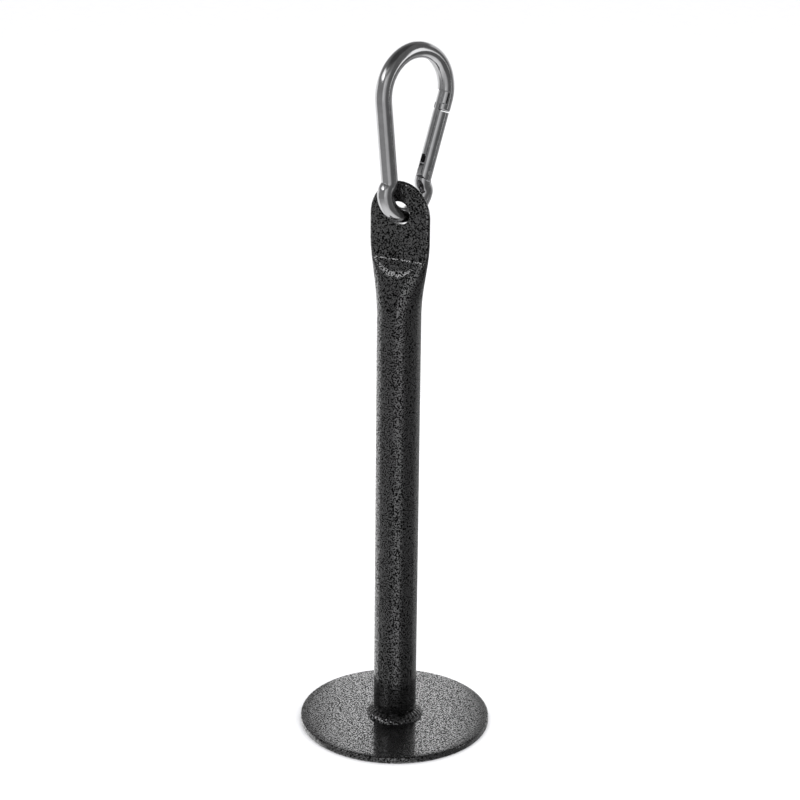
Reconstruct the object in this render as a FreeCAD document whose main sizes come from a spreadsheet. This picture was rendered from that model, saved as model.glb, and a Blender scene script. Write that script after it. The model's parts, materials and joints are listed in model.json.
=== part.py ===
import FreeCAD, Part
import math
import os
import Sketcher

# Weight-plate loading pin with a spring snap hook.
# A round steel tube stands on a round base plate.  Its top is pressed flat into a lug with an
# eye, and a pear-shaped spring snap hook stands in the eye.
# The origin is the centre of the plate's underside, +Z is up, and the lug's faces look along Y.

V = FreeCAD.Vector

# Driving dimensions in millimetres and degrees, with the words that the sheet shows.
DIMENSIONS = [
    ("plateDiameter", 112.0, "base plate, outside diameter"),
    ("plateThickness", 4.0, "base plate, thickness"),
    ("plateEdge", 0.8, "base plate, rounding of its rims"),
    ("tubeDiameter", 25.0, "post tube, outside diameter"),
    ("tubeWall", 2.0, "post tube, wall"),
    ("weldLeg", 4.5, "foot weld, leg of the fillet"),
    ("weldCrown", 0.6, "foot weld, height of its crown over the straight fillet"),
    ("neckStart", 253.0, "height where the round tube begins to flatten"),
    ("neckEnd", 298.0, "height where the lug has its full width"),
    ("creaseHeight", 286.6, "height of the crease under the flat faces"),
    ("pressAngle", 38.0, "slope of the pressed facet from the vertical"),
    ("lugWidth", 36.6, "lug, width across"),
    ("lugThickness", 4.0, "lug, two tube walls pressed together"),
    ("lugBulge", 5.5, "half thickness of the oval that the lug is pressed from"),
    ("lugTop", 330.6, "top of the lug above the floor"),
    ("headHeight", 20.0, "lug, height of its rounded elliptical head"),
    ("eyeHeight", 312.7, "eye, height of its centre"),
    ("eyeDiameter", 13.2, "eye, diameter"),
    ("barDiameter", 9.2, "snap hook, diameter of its round bar"),
    ("loopRadius", 23.1, "snap hook, centreline radius of the large end"),
    ("loopHeight", 67.9, "snap hook, centre of the large end above the small end's bottom"),
    ("armAngle", 12.93, "snap hook, slope of each straight arm"),
    ("shoulderRadius", 5.0, "snap hook, centreline radius of both bends of a shoulder"),
    ("shoulderAngle", 15.0, "snap hook, where a shoulder leaves the small end, below level"),
    ("bowRadius", 15.0, "snap hook, centreline radius of the small end"),
    ("bowShift", 1.99, "small end, sideways offset from the eye along the hook's plane"),
    ("bowDrop", 1.5, "small end, bottom of its centreline below the eye's centre"),
    ("hookYaw", 69.5, "turn of the hook's plane from the lug's face"),
    ("hookLean", 6.7, "lean of the hook in its own plane"),
    ("pivotHeight", 23.5, "gate pivot, height above the small end's bottom"),
    ("gateDiameter", 8.8, "gate, diameter"),
    ("gateBody", 34.1, "gate, length of its full round part above the pivot"),
    ("gateTine", 45.0, "gate, length to the tip of its inner half above the pivot"),
    ("footClearance", 0.4, "hinge end, clearance round the gate's rounded foot"),
    ("slotWidth", 3.3, "gate, width of the slot over the tongue"),
    ("slotTop", 9.2, "gate, top of the slot above the pivot"),
    ("tongueThickness", 3.0, "tongue, thickness"),
    ("tongueTop", 4.5, "tongue, flat top above the pivot"),
    ("tongueFlat", 5.0, "tongue, length of the flat top"),
    ("tongueRoot", 9.0, "tongue, depth of its root in the small end below the pivot"),
    ("lapGap", 0.5, "gap between nose and gate, along and across"),
    ("lapOffset", 1.8, "lap of nose and gate, inwards of the bar's centreline"),
    ("tineRib", 3.2, "gate, width of the rib between its two key notches"),
    ("noseRound", 1.2, "nose, rounding of its end"),
    ("keyHeight", 3.6, "nose keys, height"),
    ("keyDepth", 4.2, "nose keys, reach inwards of the bar's centreline"),
    ("rivetDiameter", 3.0, "gate rivet, diameter"),
    ("rivetLength", 8.4, "gate rivet, length"),
    ("rivetBevel", 0.4, "gate rivet, bevel of its ends"),
    ("rivetPlay", 0.05, "radial clearance of the rivet in the tongue"),
    ("springBore", 4.6, "gate, diameter of the spring's bore"),
    ("springBoreTop", 27.0, "gate, top of the spring's bore above the pivot"),
    ("plungerDiameter", 4.48, "gate plunger, diameter of its guide"),
    ("plungerTip", 3.0, "gate plunger, diameter of the tip in the slot"),
    ("plungerGap", 0.03, "gate plunger, gap between its tip and the tongue"),
    ("plungerGuide", 10.6, "gate plunger, foot of its guide above the pivot"),
    ("plungerEnd", 15.0, "gate plunger, top above the pivot"),
    ("springWire", 0.6, "gate spring, wire diameter"),
    ("springMean", 3.5, "gate spring, mean diameter of its turns"),
    ("springPitch", 1.65, "gate spring, pitch"),
]

# Stations between the round tube and the full lug, as shares of the way up.
NECK_STATIONS = (0.0, 0.2, 0.4, 0.6, 0.8, 1.0)

# Expressions that several pieces share.
TUBE_RADIUS = "Size.tubeDiameter / 2"
BAR_RADIUS = "Size.barDiameter / 2"
GATE_RADIUS = "Size.gateDiameter / 2"
HALF_GAP = "Size.lapGap / 2"
KEY_BOTTOM = "Size.gateBody + Size.lapGap"
KEY_TOP = "Size.gateBody + Size.lapGap + Size.keyHeight"
WELL_CLEAR = "Size.barDiameter"
PIVOT_OFFSET = (
    "Size.loopRadius / cos(Size.armAngle)"
    " - tan(Size.armAngle) * (Size.loopHeight - Size.pivotHeight)"
)
TANGENT_HEIGHT = (
    "(Size.loopHeight - Size.loopRadius * sin(Size.armAngle) - Size.pivotHeight)"
    " / cos(Size.armAngle)"
)


def make_sheet(document):
    """Give every driving dimension a row of the sheet and an alias."""
    sheet = document.addObject("Spreadsheet::Sheet", "Size")
    for row, (alias, value, words) in enumerate(DIMENSIONS, start=1):
        sheet.set("A%d" % row, words)
        sheet.set("B%d" % row, str(value))
        sheet.setAlias("B%d" % row, alias)
    document.recompute()
    return sheet


def bind(item, sizes):
    """Bind each named property of an object to its expression."""
    for path, expression in sizes.items():
        item.setExpression(path, expression)
    return item


def origin_plane(body, role):
    for feature in body.Origin.OriginFeatures:
        if feature.Role == role:
            return feature
    raise ValueError(role)


def sketch_on(body, role, name):
    """A new sketch of this body, flat on one of its origin planes."""
    sketch = body.newObject("Sketcher::SketchObject", name)
    sketch.AttachmentSupport = [(origin_plane(body, role), "")]
    sketch.MapMode = "FlatFace"
    return sketch


def constrain(sketch, name, expression, *constraint):
    """Add one driving constraint to a sketch and bind it to an expression."""
    index = sketch.addConstraint(Sketcher.Constraint(*constraint))
    sketch.renameConstraint(index, name)
    sketch.setExpression("Constraints." + name, expression)


def fuse(document, name, pieces):
    item = document.addObject("Part::MultiFuse", name)
    item.Shapes = pieces
    return item


def common(document, name, pieces):
    item = document.addObject("Part::MultiCommon", name)
    item.Shapes = pieces
    return item


def cut(document, name, base, tool):
    item = document.addObject("Part::Cut", name)
    item.Base = base
    item.Tool = tool
    return item


def rod(document, name, radius, low, high):
    """A round rod along Z between two heights."""
    item = document.addObject("Part::Cylinder", name)
    sizes = {
        "Radius": radius,
        "Height": "(%s) - (%s)" % (high, low),
        "Placement.Base.z": low,
    }
    return bind(item, sizes)


def cross_pin(document, name, radius, length, height="0"):
    """A round pin along Y, centred on the plane y = 0, on the Z axis."""
    item = document.addObject("Part::Cylinder", name)
    item.Placement = FreeCAD.Placement(V(0, 0, 0), FreeCAD.Rotation(V(1, 0, 0), -90))
    sizes = {
        "Radius": radius,
        "Height": length,
        "Placement.Base.y": "-(%s) / 2" % length,
        "Placement.Base.z": height,
    }
    return bind(item, sizes)


def block(document, name, low, high):
    """A box between two corners, each given as three expressions."""
    item = document.addObject("Part::Box", name)
    for axis, size, start, end in zip("xyz", ("Length", "Width", "Height"), low, high):
        item.setExpression("Placement.Base." + axis, start)
        item.setExpression(size, "(%s) - (%s)" % (end, start))
    return item


def hook_frame(sheet):
    """Frame of the snap hook: X across the arms, Z up the hook, Y square to its plane."""
    turn = FreeCAD.Rotation(V(0, 0, 1), float(sheet.hookYaw))
    lean = FreeCAD.Rotation(V(0, 1, 0), float(sheet.hookLean))
    across = turn.multVec(V(1, 0, 0))
    foot = V(0, 0, sheet.eyeHeight - sheet.bowDrop) + across * sheet.bowShift
    return FreeCAD.Placement(foot, turn * lean)


def bind_to_pivot(item):
    """Put an object that is modelled about the gate pivot in its place on the hook."""
    item.Placement = FreeCAD.Placement(V(0, 0, 0), FreeCAD.Rotation(V(0, 1, 0), 1))
    sizes = {
        "Placement.Base.x": PIVOT_OFFSET,
        "Placement.Base.z": "Size.pivotHeight",
        "Placement.Rotation.Angle": "Size.armAngle",
    }
    return bind(item, sizes)


def pivot_frame(sheet):
    """Frame of the gate: Z up the gate from its pivot, X away from the hook's middle."""
    slope = math.radians(sheet.armAngle)
    drop = sheet.loopHeight - sheet.pivotHeight
    offset = sheet.loopRadius / math.cos(slope) - math.tan(slope) * drop
    lean = FreeCAD.Rotation(V(0, 1, 0), float(sheet.armAngle))
    return hook_frame(sheet) * FreeCAD.Placement(V(offset, 0, sheet.pivotHeight), lean)


def base_plate(document):
    """Round disc with both rims rounded."""
    body = document.addObject("PartDesign::Body", "BasePlate")
    sketch = sketch_on(body, "XY_Plane", "PlateOutline")
    sketch.addGeometry(Part.Circle(V(0, 0, 0), V(0, 0, 1), 50))
    sketch.addConstraint(Sketcher.Constraint("Coincident", 0, 3, -1, 1))
    constrain(sketch, "diameter", "Size.plateDiameter", "Diameter", 0, 100)
    pad = body.newObject("PartDesign::Pad", "PlateDisc")
    pad.Profile = sketch
    bind(pad, {"Length": "Size.plateThickness"})
    document.recompute()
    rims = [
        "Edge%d" % number
        for number, edge in enumerate(pad.Shape.Edges, start=1)
        if isinstance(edge.Curve, Part.Circle) and edge.Closed
    ]
    fillet = body.newObject("PartDesign::Fillet", "PlateRims")
    fillet.Base = (pad, rims)
    bind(fillet, {"Radius": "Size.plateEdge"})
    body.Tip = fillet
    return body


def foot_weld(document):
    """Fillet bead between plate and tube, a triangle with a slightly crowned face."""
    body = document.addObject("PartDesign::Body", "FootWeld")
    sketch = sketch_on(body, "XZ_Plane", "WeldSection")
    toe, throat, crown = V(17, 4, 0), V(15.2, 6.8, 0), V(12.5, 8.5, 0)
    corner = V(12.5, 4, 0)
    sketch.addGeometry(Part.LineSegment(corner, toe))
    sketch.addGeometry(Part.Arc(toe, throat, crown))
    sketch.addGeometry(Part.LineSegment(crown, corner))
    sketch.addConstraint(Sketcher.Constraint("Coincident", 0, 2, 1, 1))
    sketch.addConstraint(Sketcher.Constraint("Coincident", 1, 2, 2, 1))
    sketch.addConstraint(Sketcher.Constraint("Coincident", 2, 2, 0, 1))
    sketch.addConstraint(Sketcher.Constraint("Horizontal", 0))
    sketch.addConstraint(Sketcher.Constraint("Vertical", 2))
    constrain(sketch, "inside", TUBE_RADIUS, "DistanceX", -1, 1, 0, 1, 12.5)
    constrain(sketch, "floor", "Size.plateThickness", "DistanceY", -1, 1, 0, 1, 4.0)
    constrain(sketch, "toeLeg", "Size.weldLeg", "DistanceX", 0, 1, 0, 2, 4.5)
    constrain(sketch, "tubeLeg", "Size.weldLeg", "DistanceY", 2, 2, 2, 1, 4.5)
    bow = "((Size.weldLeg ^ 2 / 2) / Size.weldCrown + Size.weldCrown) / 2"
    constrain(sketch, "bow", bow, "Radius", 1, 8.7)
    revolution = body.newObject("PartDesign::Revolution", "WeldBead")
    revolution.Profile = sketch
    revolution.ReferenceAxis = (sketch, ["V_Axis"])
    revolution.Angle = 360
    body.Tip = revolution
    return body


def neck_station(document, name, share, inset):
    """One section of the tube between round and flat: a circle at the foot, then ovals.

    The half width grows smoothly with the height, and the half thickness shrinks with it.
    """
    ease = "(%g ^ 2 * (3 - 2 * %g))" % (share, share)
    wide = TUBE_RADIUS + " + (Size.lugWidth / 2 - " + TUBE_RADIUS + ") * " + ease
    thin = TUBE_RADIUS + " + (Size.lugBulge - " + TUBE_RADIUS + ") * " + ease
    sizes = {"Placement.Base.z": "Size.neckStart + %g * (Size.neckEnd - Size.neckStart)" % share}
    if share == 0:
        item = document.addObject("Part::Circle", name)
        sizes["Radius"] = TUBE_RADIUS + " - " + inset
    else:
        item = document.addObject("Part::Ellipse", name)
        sizes["MajorRadius"] = wide + " - " + inset
        sizes["MinorRadius"] = thin + " - " + inset
    item.Placement = FreeCAD.Placement(V(0, 0, 0), FreeCAD.Rotation())
    return bind(item, sizes)


def flattened_tube(document, name, inset, low, top):
    """Solid core of the tube, inset from its skin: round below, and oval above the neck."""
    shaft = rod(document, name + "Shaft", TUBE_RADIUS + " - " + inset, low, "Size.neckStart")
    ovals = [
        neck_station(document, "%sOval%d" % (name, number), share, inset)
        for number, share in enumerate(NECK_STATIONS)
    ]
    neck = document.addObject("Part::Loft", name + "Neck")
    neck.Sections = ovals
    neck.Solid = True
    pieces = [shaft, neck]
    if top:
        last = document.addObject("Part::Extrusion", name + "Head")
        last.Base = ovals[-1]
        last.DirMode = "Custom"
        last.Dir = V(0, 0, 1)
        last.Solid = True
        bind(last, {"LengthFwd": "Size.lugTop - Size.neckEnd"})
        pieces.append(last)
    return fuse(document, name, pieces)


def press_die(document, name, face, crease):
    """Wedge that presses one side: flat above the crease, and sloping back below it."""
    die = document.addObject("Part::Wedge", name)
    back = "Size.tubeDiameter"
    sizes = {
        "Xmin": "-Size.lugWidth",
        "X2min": "-Size.lugWidth",
        "Xmax": "Size.lugWidth",
        "X2max": "Size.lugWidth",
        "Ymin": face,
        "Ymax": back,
        "Zmin": crease,
        "Z2min": "(%s) - (%s - (%s)) / tan(Size.pressAngle)" % (crease, back, face),
        "Zmax": "Size.lugTop + Size.tubeWall",
        "Z2max": "Size.lugTop + Size.tubeWall",
    }
    return bind(die, sizes)


def press_both_sides(document, name, face, crease):
    front = press_die(document, name + "Front", face, crease)
    rear = document.addObject("Part::Mirroring", name + "Rear")
    rear.Source = front
    rear.Normal = V(0, 1, 0)
    return fuse(document, name, [front, rear])


def post_tube(document):
    """Round tube, pressed flat at the top, with a round-headed lug and its eye."""
    skin = flattened_tube(document, "TubeSkin", "0", "Size.plateThickness", True)
    dies = press_both_sides(document, "Dies", "Size.lugThickness / 2", "Size.creaseHeight")
    pressed = cut(document, "PressedTube", skin, dies)
    head_centre = "Size.lugTop - Size.headHeight"
    half = "Size.lugWidth"
    below = block(
        document, "BelowHead", ("-" + half, "-" + half, "0"), (half, half, head_centre)
    )
    # the head is an upright half ellipse, a little taller than it is wide
    oval = document.addObject("Part::Ellipse", "HeadOval")
    upright = FreeCAD.Rotation(V(0, 0, 1), V(1, 0, 0), V(0, 1, 0), "XYZ")
    oval.Placement = FreeCAD.Placement(V(0, 0, 0), upright)
    oval_sizes = {
        "MajorRadius": "Size.headHeight",
        "MinorRadius": "Size.lugWidth / 2",
        "Placement.Base.z": head_centre,
    }
    bind(oval, oval_sizes)
    head = document.addObject("Part::Extrusion", "RoundHead")
    head.Base = oval
    head.DirMode = "Custom"
    head.Dir = V(0, 1, 0)
    head.Solid = True
    head.Symmetric = True
    bind(head, {"LengthFwd": "2 * Size.lugWidth"})
    outline = fuse(document, "LugOutline", [below, head])
    shaped = common(document, "ShapedTube", [pressed, outline])
    # the bore follows the skin one wall further in, and closes where the walls meet
    core = flattened_tube(document, "TubeBore", "Size.tubeWall", "0", False)
    wall_in_y = "Size.tubeWall / cos(Size.pressAngle)"
    inner_crease = (
        "Size.creaseHeight - (" + wall_in_y + " - Size.lugThickness / 2 + 0.05) "
        "/ tan(Size.pressAngle)"
    )
    inner_dies = press_both_sides(document, "InnerDies", "0.05", inner_crease)
    bore = cut(document, "Bore", core, inner_dies)
    hollow = cut(document, "HollowTube", shaped, bore)
    eye = cross_pin(document, "Eye", "Size.eyeDiameter / 2", "Size.lugWidth", "Size.eyeHeight")
    return cut(document, "PostTube", hollow, eye)


def bar_bend(document, name, radius, height, start, sweep):
    """A bend of the round bar in the hook's plane, from a start angle through a sweep."""
    item = document.addObject("Part::Torus", name)
    item.Placement = FreeCAD.Placement(
        V(0, 0, 0), FreeCAD.Rotation(V(1, 0, 0), 90) * FreeCAD.Rotation(V(0, 0, 1), start)
    )
    sizes = {
        "Radius1": radius,
        "Radius2": BAR_RADIUS,
        "Angle3": sweep,
        "Placement.Base.z": height,
    }
    return bind(item, sizes)


def rounded_end(document, sheet, name, low, high):
    """Length of the round bar whose lower rim is rounded, for the end of the nose."""
    bar = rod(document, name + "Bar", BAR_RADIUS, low, high)
    document.recompute()
    rim = [
        number
        for number, edge in enumerate(bar.Shape.Edges, start=1)
        if edge.Closed and edge.BoundBox.ZMax < bar.Shape.CenterOfMass.z
    ]
    item = document.addObject("Part::Fillet", name)
    item.Base = bar
    radius = float(sheet.noseRound)
    item.Edges = [(number, radius, radius) for number in rim]
    return item


def nose(document, sheet):
    """Straight end of the bar above the gate, cut away on the inside where the gate laps it."""
    bar = rounded_end(document, sheet, "NoseRod", KEY_BOTTOM, TANGENT_HEIGHT)
    outer = block(
        document,
        "NoseOuter",
        ("-Size.lapOffset + " + HALF_GAP, "-" + WELL_CLEAR, KEY_BOTTOM),
        (WELL_CLEAR, WELL_CLEAR, TANGENT_HEIGHT),
    )
    return common(document, "Nose", [bar, outer])


def nose_keys(document, sheet):
    """Two keys on the nose's inner flat, one at each side, which lock in the gate's notches."""
    envelope = rounded_end(document, sheet, "KeyRod", KEY_BOTTOM, KEY_TOP)
    reach = block(
        document,
        "KeyReach",
        ("-Size.keyDepth", "-" + WELL_CLEAR, KEY_BOTTOM),
        ("-Size.lapOffset + Size.lapGap", WELL_CLEAR, KEY_TOP),
    )
    half_rib = "(Size.tineRib / 2 + Size.lapGap)"
    between = block(
        document,
        "KeyParting",
        ("-" + WELL_CLEAR, "-" + half_rib, KEY_BOTTOM),
        (WELL_CLEAR, half_rib, KEY_TOP),
    )
    return cut(document, "NoseKeys", common(document, "KeyBlank", [envelope, reach]), between)


def hinge_tongue(document):
    """Thin tongue with a flat top for the plunger, which carries the gate's rivet."""
    half = "Size.tongueThickness / 2"
    disc = cross_pin(document, "TongueDisc", "Size.tongueTop", "Size.tongueThickness")
    flat = block(
        document,
        "TongueFlat",
        ("-Size.tongueFlat / 2", "-" + half, "0"),
        ("Size.tongueFlat / 2", half, "Size.tongueTop"),
    )
    root = block(
        document,
        "TongueRoot",
        ("-1", "-" + half, "-Size.tongueRoot"),
        ("Size.tongueTop - 0.1", half, "0"),
    )
    blank = fuse(document, "TongueBlank", [disc, flat, root])
    bore = cross_pin(
        document,
        "RivetBore",
        "Size.rivetDiameter / 2 + Size.rivetPlay",
        "2 * Size.tongueThickness",
    )
    return cut(document, "HingeTongue", blank, bore)


def shoulder_layout(sheet):
    """Where the two bends of a shoulder lie, in the hook's frame on the solid arm's side.

    The lower bend touches the small end from inside, and the upper bend touches the arm's
    line from outside.  The two bends touch each other, so their centres are two radii apart.
    Returns both centres, the angle from upright where they touch, and the foot of the arm.
    """
    slope = math.radians(sheet.armAngle)
    start = math.radians(sheet.shoulderAngle)
    radius = float(sheet.shoulderRadius)
    reach = sheet.bowRadius - radius
    lower = V(-reach * math.cos(start), 0, sheet.bowRadius - reach * math.sin(start))
    on_line = V(-sheet.loopRadius / math.cos(slope), 0, sheet.loopHeight)
    along = V(-math.sin(slope), 0, math.cos(slope))
    inwards = V(math.cos(slope), 0, math.sin(slope))
    aside = (lower - on_line).dot(inwards)
    turn = math.acos((aside + radius) / (2 * radius))
    height = (lower - on_line).dot(along) + 2 * radius * math.sin(turn)
    foot = on_line + along * height
    upper = foot - inwards * radius
    return lower, upper, math.degrees(turn - slope), foot


def shoulder(document, sheet, name, side):
    """The two bends of one shoulder, on the solid arm's side (-1) or the gate's side (1)."""
    lower, upper, lean, _ = shoulder_layout(sheet)
    pieces = []
    for part_name, centre, start, end in (
        ("Lower", lower, 180 - lean, 180 + float(sheet.shoulderAngle)),
        ("Upper", upper, -lean, float(sheet.armAngle)),
    ):
        first = start if side < 0 else 180 - end
        bend = bar_bend(
            document,
            name + part_name,
            "Size.shoulderRadius",
            str(centre.z),
            first,
            str(end - start),
        )
        bend.Placement.Base.x = -side * centre.x
        pieces.append(bend)
    return pieces


def snap_bar(document, sheet):
    """The bent round bar alone: large end, solid arm, shoulders and small end."""
    loop = bar_bend(
        document,
        "LargeEnd",
        "Size.loopRadius",
        "Size.loopHeight",
        -float(sheet.armAngle),
        "180 + 2 * Size.armAngle",
    )
    bow = bar_bend(
        document,
        "SmallEnd",
        "Size.bowRadius",
        "Size.bowRadius",
        180 + float(sheet.shoulderAngle),
        "180 - 2 * Size.shoulderAngle",
    )
    foot = shoulder_layout(sheet)[3]
    arm = document.addObject("Part::Cylinder", "SolidArm")
    arm.Placement = FreeCAD.Placement(foot, FreeCAD.Rotation(V(0, -1, 0), 1))
    top = "(Size.loopHeight - Size.loopRadius * sin(Size.armAngle))"
    sizes = {
        "Radius": BAR_RADIUS,
        "Height": "(%s - %.6f) / cos(Size.armAngle)" % (top, foot.z),
        "Placement.Rotation.Angle": "Size.armAngle",
    }
    bind(arm, sizes)
    shoulders = shoulder(document, sheet, "ArmShoulder", -1)
    shoulders += shoulder(document, sheet, "HingeShoulder", 1)
    return fuse(document, "BentBar", [loop, arm, bow] + shoulders)


def hinge_pockets(document):
    """Room for the gate's rounded foot on both sides of the tongue."""
    radius = GATE_RADIUS + " + Size.footClearance"
    cove = cross_pin(document, "FootCove", radius, "2 * Size.barDiameter")
    web = block(
        document,
        "TongueWeb",
        ("-" + WELL_CLEAR, "-Size.tongueThickness / 2", "-" + WELL_CLEAR),
        (WELL_CLEAR, "Size.tongueThickness / 2", WELL_CLEAR),
    )
    return cut(document, "HingePockets", cove, web)


def snap_body(document, sheet):
    """Bent round bar of the snap hook with its nose, key and hinge tongue."""
    lap = block(
        document,
        "NoseLap",
        ("-" + WELL_CLEAR, "-" + WELL_CLEAR, "Size.gateBody"),
        ("-Size.lapOffset + " + HALF_GAP, WELL_CLEAR, "Size.gateTine + Size.lapGap"),
    )
    removed = bind_to_pivot(fuse(document, "NoseAndHingeCuts", [lap, hinge_pockets(document)]))
    cut_bar = cut(document, "CutBar", snap_bar(document, sheet), removed)
    added = bind_to_pivot(
        fuse(
            document,
            "NoseAndTongue",
            [nose(document, sheet), nose_keys(document, sheet), hinge_tongue(document)],
        )
    )
    body = fuse(document, "SnapBody", [cut_bar, added])
    body.Placement = hook_frame(sheet)
    return body


def snap_gate(document, sheet):
    """Round gate with a forked foot, a spring bore, and a thin tine that laps the nose."""
    shank = rod(document, "GateShank", GATE_RADIUS, "0", "Size.gateBody")
    foot_bar = rod(document, "GateFootBar", GATE_RADIUS, "-" + WELL_CLEAR, "0")
    foot_round = cross_pin(document, "GateFootRound", GATE_RADIUS, "2 * Size.barDiameter")
    foot = common(document, "GateFoot", [foot_bar, foot_round])
    tine_bar = rod(document, "GateTineBar", GATE_RADIUS, "Size.gateBody", "Size.gateTine")
    inner_half = block(
        document,
        "GateInnerHalf",
        ("-" + WELL_CLEAR, "-" + WELL_CLEAR, "Size.gateBody"),
        ("-Size.lapOffset - " + HALF_GAP, WELL_CLEAR, "Size.gateTine"),
    )
    tine = common(document, "GateTine", [tine_bar, inner_half])
    blank = fuse(document, "GateBlank", [shank, foot, tine])
    slot = block(
        document,
        "GateSlot",
        ("-" + WELL_CLEAR, "-Size.slotWidth / 2", "-" + WELL_CLEAR),
        (WELL_CLEAR, "Size.slotWidth / 2", "Size.slotTop"),
    )
    bore = rod(
        document,
        "GateSpringBore",
        "Size.springBore / 2",
        "Size.slotTop - 1",
        "Size.springBoreTop",
    )
    notches = []
    for name, near, far in (
        ("GateNotchFront", "-" + WELL_CLEAR, "-Size.tineRib / 2"),
        ("GateNotchRear", "Size.tineRib / 2", WELL_CLEAR),
    ):
        notch = block(
            document,
            name,
            ("-" + WELL_CLEAR, near, "Size.gateBody"),
            (WELL_CLEAR, far, KEY_TOP + " + Size.lapGap"),
        )
        notches.append(notch)
    rivet_hole = cross_pin(
        document, "GateRivetHole", "Size.rivetDiameter / 2", "2 * Size.barDiameter"
    )
    tools = fuse(document, "GateCuts", [slot, bore, rivet_hole] + notches)
    gate = cut(document, "SnapGate", blank, tools)
    gate.Placement = pivot_frame(sheet)
    return gate


def gate_rivet(document, sheet):
    """Plain rivet pressed into the gate's fork."""
    pin = cross_pin(document, "RivetPin", "Size.rivetDiameter / 2", "Size.rivetLength")
    rivet = document.addObject("Part::Chamfer", "GateRivet")
    rivet.Base = pin
    document.recompute()
    bevel = float(sheet.rivetBevel)
    rivet.Edges = [(number, bevel, bevel) for number in (1, 3)]
    rivet.Placement = pivot_frame(sheet)
    return rivet


def gate_plunger(document, sheet):
    """Plunger that the spring presses on the tongue's flat top."""
    tip = rod(
        document,
        "PlungerTip",
        "Size.plungerTip / 2",
        "Size.tongueTop + Size.plungerGap",
        "Size.plungerGuide",
    )
    guide = rod(
        document,
        "PlungerGuide",
        "Size.plungerDiameter / 2",
        "Size.plungerGuide",
        "Size.plungerEnd",
    )
    plunger = fuse(document, "GatePlunger", [tip, guide])
    plunger.Placement = pivot_frame(sheet)
    return plunger


def gate_spring(document, sheet):
    """Compression spring between the plunger and the end of its bore."""
    clear = "Size.springWire / 2 + 0.05"
    line = document.addObject("Part::Helix", "SpringLine")
    sizes = {
        "Radius": "Size.springMean / 2",
        "Pitch": "Size.springPitch",
        "Height": "Size.springBoreTop - Size.plungerEnd - 2 * (%s)" % clear,
        "Placement.Base.z": "Size.plungerEnd + " + clear,
    }
    bind(line, sizes)
    wire = document.addObject("Part::Circle", "SpringWire")
    wire.Placement = FreeCAD.Placement(V(0, 0, 0), FreeCAD.Rotation(V(1, 0, 0), 90))
    sizes = {
        "Radius": "Size.springWire / 2",
        "Placement.Base.x": "Size.springMean / 2",
        "Placement.Base.z": "Size.plungerEnd + " + clear,
    }
    bind(wire, sizes)
    spring = document.addObject("Part::Sweep", "GateSpring")
    spring.Sections = [wire]
    spring.Spine = (line, ["Edge1"])
    spring.Frenet = True
    spring.Solid = True
    spring.Placement = pivot_frame(sheet)
    return spring


def check_and_export(document, nodes):
    """Stop if anything failed to build, then write one STEP file for each node."""
    document.recompute()
    for item in document.Objects:
        if "Invalid" in item.State or "Error" in item.State:
            raise RuntimeError("%s failed: %s" % (item.Name, item.State))
    for label, item in nodes.items():
        item.Label = label
        shape = item.Shape
        if shape.isNull() or not shape.isValid():
            raise RuntimeError("%s has no valid shape" % label)
        if len(shape.Solids) != 1:
            raise RuntimeError("%s has %d solids" % (label, len(shape.Solids)))
    os.makedirs("parts", exist_ok=True)
    for label, item in nodes.items():
        item.Shape.exportStep("parts/%s.step" % label)
        box = item.Shape.BoundBox
        print(
            "%-13s volume %10.1f mm3, x %7.2f..%6.2f, y %7.2f..%6.2f, z %7.2f..%7.2f"
            % (label, item.Shape.Volume, box.XMin, box.XMax, box.YMin, box.YMax, box.ZMin, box.ZMax)
        )


def main():
    document = FreeCAD.newDocument("LoadingPin")
    sheet = make_sheet(document)
    nodes = {
        "base_plate": base_plate(document),
        "post_tube": post_tube(document),
        "foot_weld": foot_weld(document),
        "snap_body": snap_body(document, sheet),
        "snap_gate": snap_gate(document, sheet),
        "gate_rivet": gate_rivet(document, sheet),
        "gate_plunger": gate_plunger(document, sheet),
        "gate_spring": gate_spring(document, sheet),
    }
    check_and_export(document, nodes)


main()
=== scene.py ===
import json
import math

import bmesh
import bpy
import numpy as np
from mathutils import Matrix, Vector


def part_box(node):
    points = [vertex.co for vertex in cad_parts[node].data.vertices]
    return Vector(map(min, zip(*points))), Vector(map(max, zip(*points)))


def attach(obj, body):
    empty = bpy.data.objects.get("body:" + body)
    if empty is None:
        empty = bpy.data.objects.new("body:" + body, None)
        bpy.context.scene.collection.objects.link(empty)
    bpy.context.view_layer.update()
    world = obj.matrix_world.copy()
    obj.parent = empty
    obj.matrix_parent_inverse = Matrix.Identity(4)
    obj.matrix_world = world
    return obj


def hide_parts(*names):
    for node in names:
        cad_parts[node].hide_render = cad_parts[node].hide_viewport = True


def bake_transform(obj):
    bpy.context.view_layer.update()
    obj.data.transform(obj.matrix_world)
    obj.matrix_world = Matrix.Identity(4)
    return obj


# Weight-plate loading pin: hammertone-coated post on a round plate, with a plated snap hook.
# Lengths are metres.  The post stands on the origin and the lug's flat faces look along Y.

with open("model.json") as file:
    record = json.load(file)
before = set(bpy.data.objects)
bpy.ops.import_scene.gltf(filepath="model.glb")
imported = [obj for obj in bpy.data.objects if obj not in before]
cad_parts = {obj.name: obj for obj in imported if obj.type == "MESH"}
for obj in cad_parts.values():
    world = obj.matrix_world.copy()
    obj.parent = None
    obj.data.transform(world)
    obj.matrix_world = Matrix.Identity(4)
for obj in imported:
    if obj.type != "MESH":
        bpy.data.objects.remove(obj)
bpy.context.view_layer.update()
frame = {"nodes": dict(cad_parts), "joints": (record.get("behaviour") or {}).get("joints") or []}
nodes = frame["nodes"]
joints = {joint["name"]: joint for joint in frame["joints"]}
print("frame loaded:", ", ".join(sorted(nodes)))

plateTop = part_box("base_plate")[1].z
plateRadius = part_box("base_plate")[1].x
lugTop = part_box("post_tube")[1].z
eyeHeight = joints["snap_swing"]["pos_m"][2]


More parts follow.
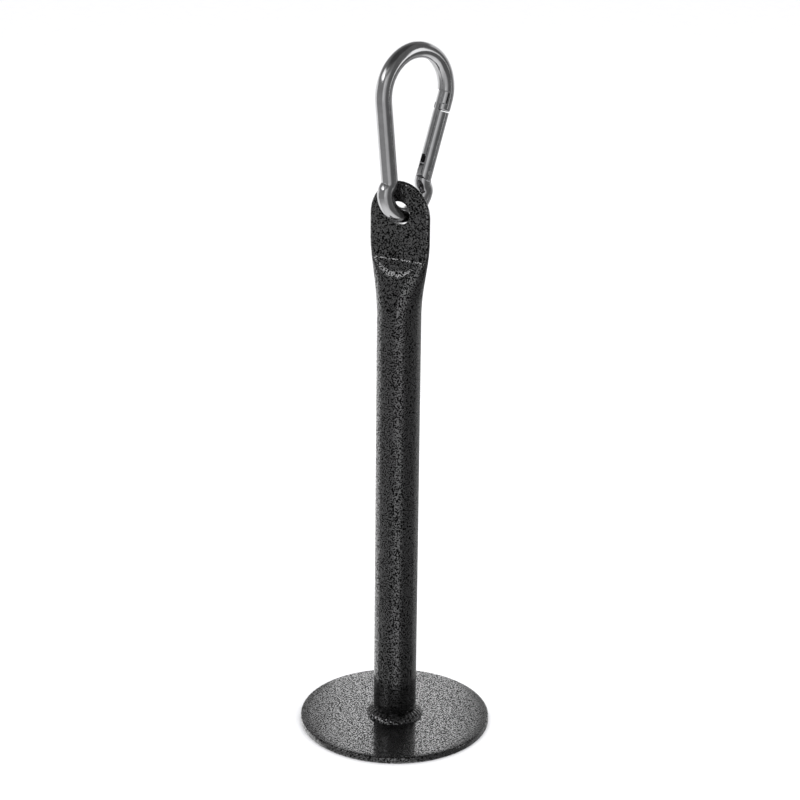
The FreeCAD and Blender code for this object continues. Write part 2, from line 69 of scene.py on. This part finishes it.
# Meshes from grids: points in rows and columns, joined by quads.

joinDistance = 1e-6      # points nearer than this are one point
shortestEdge = 1e-7


def solidFromGrid(name, points, faces, body, replaced):
    # joins doubled points, turns every face outwards and shades the piece smooth; a piece
    # with no body is left unattached
    mesh = bpy.data.meshes.new(name)
    mesh.from_pydata(points.tolist(), [], faces)
    work = bmesh.new()
    work.from_mesh(mesh)
    bmesh.ops.remove_doubles(work, verts=work.verts, dist=joinDistance)
    bmesh.ops.dissolve_degenerate(work, edges=work.edges, dist=shortestEdge)
    loose = [vert for vert in work.verts if not vert.link_faces]
    bmesh.ops.delete(work, geom=loose, context="VERTS")
    bmesh.ops.recalc_face_normals(work, faces=work.faces)
    work.to_mesh(mesh)
    work.free()
    mesh.shade_smooth()
    piece = bpy.data.objects.new(name, mesh)
    bpy.context.scene.collection.objects.link(piece)
    if body:
        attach(piece, body)
    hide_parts(*replaced)
    return piece


def gridFaces(rows, columns, closed):
    # quads between neighbouring rows; a closed grid also joins its last column to its first
    row, column = np.meshgrid(np.arange(rows - 1), np.arange(columns - (not closed)), indexing="ij")
    after = (column + 1) % columns
    corners = [row * columns + column, row * columns + after,
               (row + 1) * columns + after, (row + 1) * columns + column]
    return np.stack(corners, axis=-1)


def softMin(first, second, blend):
    # the smaller of two lengths, with the corner between them rounded over the blend
    share = np.clip(0.5 + 0.5 * (second - first) / blend, 0, 1)
    return second + (first - second) * share - blend * share * (1 - share)


def smoothStep(share):
    # rises from zero to one along 3 s^2 - 2 s^3, level at both ends
    share = np.clip(share, 0, 1)
    return share * share * (3 - 2 * share)


# The post is a round tube, pressed flat at its top into a lug with an eye.

post = {
    "tubeRadius": 0.0125,
    "neckStart": 0.253,       # where the round tube begins to widen
    "neckEnd": 0.298,         # where the lug has its full width
    "creaseHeight": 0.2866,   # foot of the flat faces
    "pressAngle": math.radians(38),
    "lugHalfWidth": 0.0183,
    "lugBulge": 0.0055,       # half thickness of the oval that the lug is pressed from
    "lugHalfThickness": 0.002,
    "headHeight": 0.020,
    "ridgeBlend": 0.0017,     # softness of the ridges beside the pressed facets
    "creaseBlend": 0.0009,    # softness of the crease itself
    "eyeRadius": 0.0066,
    "eyeEdge": 0.0006,        # rounding of the eye's edges under the coat
    "columns": 256,
    "tubeRows": 24,
    "neckRows": 150,
    "headRows": 64,
    "eyeRings": 9,            # rings from the patch's border to the rounded edge
    "edgeRings": 6,
    "eyeColumns": 44,         # half of the columns that the eye's patch takes on each face
    "eyeReach": 0.0101,       # the eye's patch above and below its centre
}


def pressedSection(angle, height, tilt):
    # oval of the tube at a height, cut down to the press's faces; the head is the same oval
    # shrunk by the tilt, which turns its top into the end of an ellipsoid
    grow = smoothStep((height - post["neckStart"]) / (post["neckEnd"] - post["neckStart"]))
    wide = post["tubeRadius"] + (post["lugHalfWidth"] - post["tubeRadius"]) * grow
    thick = post["tubeRadius"] + (post["lugBulge"] - post["tubeRadius"]) * grow
    shrink = np.cos(tilt)
    x = wide * shrink * np.cos(angle)
    oval = thick * shrink * np.sin(angle)
    below = post["creaseHeight"] - height
    slope = -softMin(-below, np.zeros_like(below), post["creaseBlend"])
    limit = post["lugHalfThickness"] + slope * math.tan(post["pressAngle"])
    y = np.sign(oval) * softMin(np.abs(oval), limit, post["ridgeBlend"])
    return x, y


def buildPost():
    # the pressed section carried up the post, with a patch for the eye on both faces
    headBase = lugTop - post["headHeight"]
    low = np.linspace(plateTop, post["neckStart"], post["tubeRows"])
    neck = np.linspace(post["neckStart"], headBase, post["neckRows"])[1:]
    tilts = np.linspace(0, math.pi / 2, post["headRows"])[1:]
    height = np.concatenate([low, neck, headBase + post["headHeight"] * np.sin(tilts)])
    tilt = np.concatenate([np.zeros(len(low) + len(neck)), tilts])
    columns = post["columns"]
    angle = 2 * math.pi * np.arange(columns) / columns
    x, y = pressedSection(angle[None, :], height[:, None], tilt[:, None])
    skin = np.stack([x, y, np.broadcast_to(height[:, None], x.shape)], axis=-1)
    faces = gridFaces(len(height), columns, True)

    # the eye's patch: a window in the grid on each face, whose border shrinks to the eye
    lowRow = int(np.searchsorted(height, eyeHeight - post["eyeReach"]))
    highRow = int(np.searchsorted(height, eyeHeight + post["eyeReach"]))
    quarter, half = columns // 4, post["eyeColumns"] // 2
    left, right = quarter - half, quarter + half
    keep = np.ones(faces.shape[:2], bool)
    keep[lowRow:highRow, left:right] = False
    keep[lowRow:highRow, columns - right:columns - left] = False
    across, up = np.arange(left, right), np.arange(lowRow, highRow)
    border = np.concatenate([
        np.stack([np.full(len(across), lowRow), across], 1),
        np.stack([up, np.full(len(up), right)], 1),
        np.stack([np.full(len(across), highRow), across[::-1] + 1], 1),
        np.stack([up[::-1] + 1, np.full(len(up), left)], 1)])
    front = skin[border[:, 0], border[:, 1]]
    turn = np.arctan2(front[:, 2] - eyeHeight, front[:, 0])
    # rings from the border to the rounded edge, then through the bore to the middle
    steps = np.linspace(0, 1, post["eyeRings"])[:, None]
    rimRadius = post["eyeRadius"] + post["eyeEdge"]
    rimX, rimZ = rimRadius * np.cos(turn), eyeHeight + rimRadius * np.sin(turn)
    flatX = front[:, 0] + (rimX - front[:, 0]) * steps
    flatZ = front[:, 2] + (rimZ - front[:, 2]) * steps
    flatY = np.full_like(flatX, post["lugHalfThickness"])
    flatY[0] = front[:, 1]
    curl = np.linspace(0, math.pi / 2, post["edgeRings"])[1:, None]
    edgeRadius = rimRadius - post["eyeEdge"] * np.sin(curl)
    edgeY = post["lugHalfThickness"] - post["eyeEdge"] * (1 - np.cos(curl))
    edgeX = edgeRadius * np.cos(turn)
    edgeZ = eyeHeight + edgeRadius * np.sin(turn)
    halfPatch = np.stack([np.concatenate([flatX, edgeX]),
                          np.concatenate([flatY, np.broadcast_to(edgeY, edgeX.shape)]),
                          np.concatenate([flatZ, edgeZ])], axis=-1)
    rearPatch = halfPatch[::-1] * np.array([1, -1, 1])
    patch = np.concatenate([halfPatch, rearPatch])
    patchFaces = gridFaces(len(patch), len(border), True).reshape(-1, 4) + skin[..., 0].size

    # flat disc under the tube, inside the weld
    foot = np.array([[0.0, 0.0, plateTop]])
    footIndex = skin[..., 0].size + patch[..., 0].size
    ring = np.arange(columns)
    points = np.concatenate([skin.reshape(-1, 3), patch.reshape(-1, 3), foot])
    quads = np.concatenate([faces[keep], patchFaces])
    fan = np.stack([ring, np.roll(ring, -1), np.full(columns, footIndex)], 1)
    return solidFromGrid("pressedPost", points, quads.tolist() + fan.tolist(),
                         "post", ["post_tube"])


pressedPost = buildPost()
print("post built")


# The base plate, and the weld round the post's foot.

plate = {
    "edge": 0.0009,       # rounding of both rims
    "edgeSteps": 15,
    "rings": 12,          # on each flat face
    "columns": 288,
}


def buildPlate():
    # half section carried round the axis: flat faces joined by rounded rims
    edge = plate["edge"]
    turn = np.linspace(-math.pi / 2, math.pi / 2, plate["edgeSteps"])
    rimRadius = plateRadius - edge + edge * np.cos(turn)
    rimHeight = np.where(turn < 0, edge, plateTop - edge) + edge * np.sin(turn)
    inner = np.linspace(0, plateRadius - edge, plate["rings"])[:-1]
    radius = np.concatenate([inner, rimRadius, inner[::-1]])
    height = np.concatenate([np.zeros(len(inner)), rimHeight, np.full(len(inner), plateTop)])
    angle = 2 * math.pi * np.arange(plate["columns"]) / plate["columns"]
    points = np.stack([radius[:, None] * np.cos(angle), radius[:, None] * np.sin(angle),
                       np.broadcast_to(height[:, None], (len(height), len(angle)))], axis=-1)
    faces = gridFaces(len(radius), len(angle), True).reshape(-1, 4).tolist()
    return solidFromGrid("plateDisc", points.reshape(-1, 3), faces,
                         "post", ["base_plate"])


weld = {
    "leg": 0.0045,
    "crown": 0.0005,
    "sink": 0.0004,       # how far the bead runs into the tube and the plate
    "beads": 34,          # ripples of the bead round the post
    "ripple": 0.00022,
    "sway": 0.00045,      # slow change of the bead's width
    "columns": 360,
    "steps": 17,          # across the bead
}


def buildWeld():
    # a quarter-round bead whose leg swells and dips as it goes round the tube
    columns = weld["columns"]
    angle = 2 * math.pi * np.arange(columns) / columns
    sway = np.sin(3 * angle + 0.6) + 0.6 * np.sin(5 * angle + 2.1) + 0.4 * np.sin(11 * angle)
    beads = np.abs(np.sin(weld["beads"] * angle / 2 + 0.8 * np.sin(2 * angle)))
    leg = weld["leg"] + weld["sway"] * (sway / 2 - 0.9) + weld["ripple"] * (beads - 1)
    across = np.linspace(0, 1, weld["steps"])[:, None]
    crown = weld["crown"] + weld["ripple"] * beads
    bulge = crown * np.sin(math.pi * across)
    out = leg * across + bulge / math.sqrt(2)
    up = leg * (1 - across) + bulge / math.sqrt(2)
    inside = np.full((1, columns), -weld["sink"])
    out = np.concatenate([inside, out, out[-1:], inside])
    up = np.concatenate([up[:1], up, inside, inside])
    radius = post["tubeRadius"] + out
    points = np.stack([radius * np.cos(angle), radius * np.sin(angle), plateTop + up], axis=-1)
    points = np.concatenate([points, points[:1]])
    faces = gridFaces(len(points), columns, True).reshape(-1, 4).tolist()
    return solidFromGrid("footBead", points.reshape(-1, 3), faces,
                         "post", ["foot_weld"])


plateDisc = buildPlate()
footBead = buildWeld()
print("plate and weld built")


# The spring inside the gate.

coil = {
    "wireRadius": 0.0003,
    "meanRadius": 0.00175,
    "foot": 0.01535,      # wire's centre at both ends, along the gate from its pivot
    "head": 0.02665,
    "pitch": 0.00165,
    "endLength": 0.0006,  # of each end that keeps its shape
    "turnSteps": 28,
    "sides": 10,          # of the wire
}


def buildCoil():
    # a round wire carried along a helix about the gate's axis, closed to a point at both ends
    up = np.array(joints["plunger_slide"]["axis"], float)
    across = np.array(joints["gate_hinge"]["axis"], float)
    aside = np.cross(up, across)
    pivot = np.array(joints["gate_hinge"]["pos_m"], float)
    turns = (coil["head"] - coil["foot"]) / coil["pitch"]
    share = np.linspace(0, 1, int(turns * coil["turnSteps"]))
    share = np.concatenate([share[:1], share, share[-1:]])[:, None]
    turn = 2 * math.pi * turns * share
    outward = np.cos(turn) * aside + np.sin(turn) * across
    along = coil["foot"] + (coil["head"] - coil["foot"]) * share
    line = pivot + up * along + outward * coil["meanRadius"]
    lean = math.atan(coil["pitch"] / (2 * math.pi * coil["meanRadius"]))
    forward = -np.sin(turn) * aside + np.cos(turn) * across
    upright = up * math.cos(lean) - forward * math.sin(lean)
    thickness = np.full(len(share), coil["wireRadius"])
    thickness[[0, -1]] = 0
    angle = 2 * math.pi * np.arange(coil["sides"]) / coil["sides"]
    ring = outward[:, None] * np.cos(angle)[:, None] + upright[:, None] * np.sin(angle)[:, None]
    points = line[:, None] + ring * thickness[:, None, None]
    faces = gridFaces(len(line), len(angle), True).reshape(-1, 4).tolist()
    piece = solidFromGrid("coilSpring", points.reshape(-1, 3), faces,
                          None, ["gate_spring"])
    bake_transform(piece)
    return piece


coilSpring = buildCoil()
print("spring built")


# Materials read Object coordinates, so each pattern stays on its piece.

def newMaterial(name):
    material = bpy.data.materials.new(name)
    material.use_nodes = True
    tree = material.node_tree
    shader = tree.nodes["Principled BSDF"]
    place = tree.nodes.new("ShaderNodeTexCoord").outputs["Object"]
    return material, tree, shader, place


def addNode(tree, kind, **settings):
    node = tree.nodes.new(kind)
    for key, value in settings.items():
        if hasattr(node, key):
            setattr(node, key, value)
        else:
            node.inputs[key].default_value = value
    return node


coolTint = 1.02      # greys lean this much towards blue


def colourRamp(tree, source, stops):
    # greys by position along the source
    ramp = tree.nodes.new("ShaderNodeValToRGB")
    elements = ramp.color_ramp.elements
    while len(elements) < len(stops):
        elements.new(0.5)
    for element, (position, grey) in zip(elements, stops):
        element.position = position
        element.color = (grey, grey, grey * coolTint, 1)
    tree.links.new(source, ramp.inputs["Fac"])
    return ramp


coat = {
    "grain": 1200,        # grains of the hammertone per metre
    "fleck": 2000,        # finer flecks among them, per metre
    "fleckShare": 0.2,
    "pit": 0.45,          # noise under this is a pit between grains
    "rim": 0.49,          # and over this the clear gloss is whole
    "flat": 0.50,         # and over this the metal is at its smoothest
    "tones": [(0.45, 0.004), (0.49, 0.05), (0.56, 0.11), (0.62, 0.18)],
    "roughness": 0.22,
    "pitRoughness": 0.5,
    "glossRoughness": 0.05,
    "glossIndex": 1.6,
    "relief": 0.0001,     # depth of the pits between the grains
}


def hammertoneCoat():
    # dark metal grains with a clear gloss over them, parted by black pits that don't shine
    material, tree, shader, place = newMaterial("hammertoneCoat")
    grain = addNode(tree, "ShaderNodeTexNoise", Scale=coat["grain"], Detail=1.0, Roughness=0.4)
    fleck = addNode(tree, "ShaderNodeTexNoise", Scale=coat["fleck"], Detail=1.0, Roughness=0.5)
    tree.links.new(place, grain.inputs["Vector"])
    tree.links.new(place, fleck.inputs["Vector"])
    blend = addNode(tree, "ShaderNodeMix", data_type="FLOAT")
    blend.inputs["Factor"].default_value = coat["fleckShare"]
    # sockets 2 and 3 are the two numbers that this node mixes
    tree.links.new(grain.outputs["Fac"], blend.inputs[2])
    tree.links.new(fleck.outputs["Fac"], blend.inputs[3])
    mixed = blend.outputs[0]
    tone = colourRamp(tree, mixed, coat["tones"])
    tree.links.new(tone.outputs["Color"], shader.inputs["Base Color"])
    rough = colourRamp(tree, mixed, [(coat["pit"], coat["pitRoughness"]),
                                     (coat["flat"], coat["roughness"])])
    tree.links.new(rough.outputs["Color"], shader.inputs["Roughness"])
    gloss = colourRamp(tree, mixed, [(coat["pit"], 0.0), (coat["rim"], 1.0)])
    tree.links.new(gloss.outputs["Color"], shader.inputs["Coat Weight"])
    bump = addNode(tree, "ShaderNodeBump", Strength=1.0, Distance=coat["relief"])
    tree.links.new(gloss.outputs["Color"], bump.inputs["Height"])
    tree.links.new(bump.outputs["Normal"], shader.inputs["Normal"])
    tree.links.new(bump.outputs["Normal"], shader.inputs["Coat Normal"])
    shader.inputs["Metallic"].default_value = 1.0
    shader.inputs["Coat Roughness"].default_value = coat["glossRoughness"]
    shader.inputs["Coat IOR"].default_value = coat["glossIndex"]
    return material


plating = {
    "cloud": 180.0,       # faint clouds per metre
    "dullest": 0.9,       # share of the tone in the darkest clouds
    "smoothest": 0.75,    # shares of the roughness, in the smoothest clouds
    "roughest": 1.3,      # and in the roughest
    "relief": 0.00002,
    "reliefStrength": 0.12,
}


def platedSteel(name, tone, roughness, streak):
    # metal with faint clouds in its tone and roughness, and fine marks in its surface
    material, tree, shader, place = newMaterial(name)
    cloud = addNode(tree, "ShaderNodeTexNoise", Scale=plating["cloud"], Detail=4.0)
    tree.links.new(place, cloud.inputs["Vector"])
    tint = colourRamp(tree, cloud.outputs["Fac"],
                      [(0.35, tone * plating["dullest"]), (0.65, tone)])
    tree.links.new(tint.outputs["Color"], shader.inputs["Base Color"])
    rough = colourRamp(tree, cloud.outputs["Fac"],
                       [(0.3, roughness * plating["smoothest"]),
                        (0.7, roughness * plating["roughest"])])
    tree.links.new(rough.outputs["Color"], shader.inputs["Roughness"])
    grain = addNode(tree, "ShaderNodeTexNoise", Scale=streak, Detail=3.0)
    tree.links.new(place, grain.inputs["Vector"])
    bump = addNode(tree, "ShaderNodeBump", Strength=plating["reliefStrength"],
                   Distance=plating["relief"])
    tree.links.new(grain.outputs["Fac"], bump.inputs["Height"])
    tree.links.new(bump.outputs["Normal"], shader.inputs["Normal"])
    shader.inputs["Metallic"].default_value = 1.0
    return material


hammertone = hammertoneCoat()
# name, tone, roughness, surface marks per metre
hookPlating = platedSteel("hookPlating", 0.55, 0.13, 900.0)
rivetMetal = platedSteel("rivetMetal", 0.42, 0.28, 1500.0)
springMetal = platedSteel("springMetal", 0.28, 0.35, 1500.0)
# the plunger's near-black tone is painted shade: it stands for the shade inside the gate's deep
# slot, not for the plunger's own metal
plungerPaintedShade = platedSteel("plungerPaintedShade", 0.05, 0.4, 1500.0)

for piece in (pressedPost, plateDisc, footBead):
    piece.data.materials.append(hammertone)
coilSpring.data.materials.append(springMetal)
# the four CAD nodes that no new piece replaces
finishes = {"snap_body": hookPlating, "snap_gate": hookPlating,
            "gate_plunger": plungerPaintedShade, "gate_rivet": rivetMetal}
for nodeName, finish in finishes.items():
    for materialSlot in nodes[nodeName].material_slots:
        materialSlot.material = finish
print("materials made")


# The studio: pale floor, soft light and the camera.

paper = {
    "halfSide": 6.0,
    "mottle": 60.0,       # faint patches per metre
    "darkest": 0.91,
    "lightest": 0.93,
    "roughness": 0.9,
}


def studioFloor():
    half = paper["halfSide"]
    points = np.array([[-half, -half, 0], [half, -half, 0], [half, half, 0], [-half, half, 0]])
    mesh = bpy.data.meshes.new("studioFloor")
    mesh.from_pydata(points.tolist(), [], [[0, 1, 2, 3]])
    floor = bpy.data.objects.new("studioFloor", mesh)
    bpy.context.scene.collection.objects.link(floor)
    material, tree, shader, place = newMaterial("palePaper")
    grain = addNode(tree, "ShaderNodeTexNoise", Scale=paper["mottle"], Detail=2.0)
    tree.links.new(place, grain.inputs["Vector"])
    tint = colourRamp(tree, grain.outputs["Fac"],
                      [(0.3, paper["darkest"]), (0.7, paper["lightest"])])
    tree.links.new(tint.outputs["Color"], shader.inputs["Base Color"])
    shader.inputs["Roughness"].default_value = paper["roughness"]
    mesh.materials.append(material)
    floor.visible_glossy = False       # the polished pieces mirror the room instead


lamps = [
    # name, place, aimed at, width, height, power
    ("topSoftbox", (0.1, -0.1, 1.6), (0, 0, 0.1), 1.6, 1.6, 7.0),
    ("rightSoftbox", (1.5, -0.2, 0.8), (0, 0, 0.2), 0.7, 1.2, 5.0),
]


def studioLights():
    for name, place, target, width, height, power in lamps:
        light = bpy.data.lights.new(name, "AREA")
        light.shape = "RECTANGLE"
        light.size = width
        light.size_y = height
        light.energy = power
        lamp = bpy.data.objects.new(name, light)
        lamp.location = place
        aim = Vector(target) - Vector(place)
        lamp.rotation_euler = aim.to_track_quat("-Z", "Y").to_euler()
        lamp.visible_glossy = False
        bpy.context.scene.collection.objects.link(lamp)


room = {
    "front": math.radians(27 - 90),    # compass direction of the studio's front, from +X
    "light": 1.08,                     # even light on matt surfaces
    # what polished pieces mirror: grey of the walls by degrees above level, all round
    "heights": [(-90, 1.15), (-60, 1.0), (-45, 0.75), (-33, 0.42), (-20, 0.34), (30, 0.25),
                (50, 0.17), (62, 0.07), (90, 0.06)],
    # what stands in front of the walls: degrees round from the front, left then right, with
    # right positive; degrees above level, low then high; soft width of the edges; grey
    "panels": [
        (35, 125, -42, 62, 9, 0.15),       # flag at the right
        (-180, -112, -42, 2, 12, 1.15),    # pale table behind, to the left
        (112, 180, -42, -8, 12, 0.38),     # the same to the right, in half shade
        (122, 158, -8, 24, 8, 0.75),       # pale wall behind, to the right
        (148, 180, -8, 19, 6, 1.35),
        (-180, -152, 2, 19, 6, 0.75),
        (-14, 16, -40, 26, 7, 0.62),       # pale strip in front
        (-9, 1, -12, 22, 4, 0.85),
        (-86, -46, 27, 41, 5, 1.7),        # softbox high at the left
        (-56, -42, 27, 33, 3, 3.5),        # its hot middle
        (-34, -22, 36, 46, 5, 0.5),
        (77, 87, -8, 18, 5, 1.6),          # narrow lamp at the right
    ],
}


def mathNode(tree, operation, *values):
    # each value is a number, or another node's output
    node = tree.nodes.new("ShaderNodeMath")
    node.operation = operation
    for socket, value in zip(node.inputs, values):
        if hasattr(value, "links"):
            tree.links.new(value, socket)
        else:
            socket.default_value = value
    return node.outputs[0]


def smoothBand(tree, source, low, high, soft):
    # one between low and high, fading to nothing over the soft width outside them
    rise = tree.nodes.new("ShaderNodeMapRange")
    fall = tree.nodes.new("ShaderNodeMapRange")
    for node, start, end in ((rise, low - soft, low), (fall, high + soft, high)):
        node.interpolation_type = "SMOOTHSTEP"
        tree.links.new(source, node.inputs["Value"])
        node.inputs["From Min"].default_value = start
        node.inputs["From Max"].default_value = end
    return mathNode(tree, "MULTIPLY", rise.outputs["Result"], fall.outputs["Result"])


def studioWorld():
    # even white to look at and for matt surfaces, and a grey room for polished ones: walls
    # that change with their height, then each panel laid over what is already there
    world = bpy.data.worlds.new("studioRoom")
    bpy.context.scene.world = world
    world.use_nodes = True
    tree = world.node_tree
    tree.nodes.clear()
    place = tree.nodes.new("ShaderNodeTexCoord")
    split = tree.nodes.new("ShaderNodeSeparateXYZ")
    tree.links.new(place.outputs["Generated"], split.inputs["Vector"])
    degree = 180 / math.pi
    pastRear = 90
    rise = mathNode(tree, "MULTIPLY", mathNode(tree, "ARCSINE", split.outputs["Z"]), degree)
    compass = mathNode(tree, "ARCTAN2", split.outputs["Y"], split.outputs["X"])
    turn = mathNode(tree, "SUBTRACT", compass, room["front"])
    turn = mathNode(tree, "WRAP", turn, math.pi, -math.pi)
    turn = mathNode(tree, "MULTIPLY", turn, degree)
    share = mathNode(tree, "MULTIPLY_ADD", rise, 1 / 180, 0.5)
    walls = colourRamp(tree, share, [(high / 180 + 0.5, grey) for high, grey in room["heights"]])
    mixed = walls.outputs["Color"]
    for left, right, low, high, soft, grey in room["panels"]:
        # a panel that ends right behind the object runs on past there, so it has no edge
        left = left - pastRear if left == -180 else left
        right = right + pastRear if right == 180 else right
        across = smoothBand(tree, turn, left, right, soft)
        cover = mathNode(tree, "MULTIPLY", across, smoothBand(tree, rise, low, high, soft))
        keep = mathNode(tree, "MULTIPLY", mixed, mathNode(tree, "SUBTRACT", 1.0, cover))
        mixed = mathNode(tree, "MULTIPLY_ADD", cover, grey, keep)
    gloss = addNode(tree, "ShaderNodeBackground")
    tree.links.new(mixed, gloss.inputs["Color"])
    even = addNode(tree, "ShaderNodeBackground", Strength=room["light"])
    even.inputs["Color"].default_value = (1, 1, 1, 1)
    path = tree.nodes.new("ShaderNodeLightPath")
    choice = tree.nodes.new("ShaderNodeMixShader")
    output = tree.nodes.new("ShaderNodeOutputWorld")
    tree.links.new(path.outputs["Is Glossy Ray"], choice.inputs["Fac"])
    tree.links.new(even.outputs["Background"], choice.inputs[1])
    tree.links.new(gloss.outputs["Background"], choice.inputs[2])
    tree.links.new(choice.outputs["Shader"], output.inputs["Surface"])


card = {
    "distance": 0.35,      # behind the post
    "halfWidth": 0.060,
    "fade": 0.022,         # soft width of its upright edges
    "low": 0.02,
    "high": 0.27,
    "strength": 0.85,
}


def brightCard():
    # bright card behind the post, which only the glossy coat and the plating can see; its
    # brightness fades smoothly from the middle to both upright edges
    azimuth = room["front"]
    away = np.array([-math.cos(azimuth), -math.sin(azimuth), 0]) * card["distance"]
    side = np.array([-math.sin(azimuth), math.cos(azimuth), 0])
    half = card["halfWidth"] + card["fade"]
    corners = [away + side * u + np.array([0, 0, z]) for u, z in
               ((-half, card["low"]), (half, card["low"]), (half, card["high"]),
                (-half, card["high"]))]
    mesh = bpy.data.meshes.new("brightCard")
    mesh.from_pydata([corner.tolist() for corner in corners], [], [[0, 1, 2, 3]])
    piece = bpy.data.objects.new("brightCard", mesh)
    bpy.context.scene.collection.objects.link(piece)
    material, tree, shader, place = newMaterial("cardLight")
    across = addNode(tree, "ShaderNodeVectorMath", operation="DOT_PRODUCT")
    across.inputs[1].default_value = side.tolist()
    tree.links.new(place, across.inputs[0])
    flat = card["halfWidth"] - card["fade"]
    fade = smoothBand(tree, across.outputs["Value"], -flat, flat, 2 * card["fade"])
    tree.links.new(mathNode(tree, "MULTIPLY", fade, card["strength"]),
                   shader.inputs["Emission Strength"])
    shader.inputs["Emission Color"].default_value = (1, 1, 1, 1)
    clear = tree.nodes.new("ShaderNodeBsdfTransparent")
    choice = tree.nodes.new("ShaderNodeMixShader")
    tree.links.new(fade, choice.inputs["Fac"])
    tree.links.new(clear.outputs["BSDF"], choice.inputs[1])
    tree.links.new(shader.outputs["BSDF"], choice.inputs[2])
    tree.links.new(choice.outputs["Shader"], tree.nodes["Material Output"].inputs["Surface"])
    mesh.materials.append(material)
    piece.visible_camera = piece.visible_diffuse = piece.visible_shadow = False
    piece.visible_transmission = False


camera = {
    "azimuth": 27.0,       # degrees round from the lug's front face
    "distance": 1.2,       # level distance from the post's axis
    "height": 0.6465,
    "pitch": 20.297,       # degrees below level
    "yaw": 0.05,
    "roll": 0.674,
    "lens": 101.48,
    "sensor": 36.0,
}


def studioCamera():
    azimuth = math.radians(camera["azimuth"])
    pitch, roll = math.radians(camera["pitch"]), math.radians(camera["roll"])
    yaw = math.radians(camera["yaw"])
    right = Vector((math.cos(azimuth), math.sin(azimuth), 0))
    inward = Vector((-math.sin(azimuth), math.cos(azimuth), 0))
    level = inward * math.cos(yaw) + right * math.sin(yaw)
    right = level.cross(Vector((0, 0, 1))).normalized()
    ahead = level * math.cos(pitch) - Vector((0, 0, 1)) * math.sin(pitch)
    up = right.cross(ahead)
    tilted = right * math.cos(roll) + up * math.sin(roll)
    up = tilted.cross(ahead)
    data = bpy.data.cameras.new("studioCamera")
    data.lens = camera["lens"]
    data.sensor_width = camera["sensor"]
    data.clip_start = 0.01
    view = bpy.data.objects.new("studioCamera", data)
    spin = Matrix((tilted, up, -ahead)).transposed().to_4x4()
    place = Vector((math.sin(azimuth), -math.cos(azimuth), 0)) * camera["distance"]
    place.z = camera["height"]
    view.matrix_world = Matrix.Translation(place) @ spin
    bpy.context.scene.collection.objects.link(view)
    bpy.context.scene.camera = view


studioFloor()
studioLights()
studioWorld()
brightCard()
studioCamera()
bpy.context.scene.view_settings.view_transform = "Standard"
print("studio set")
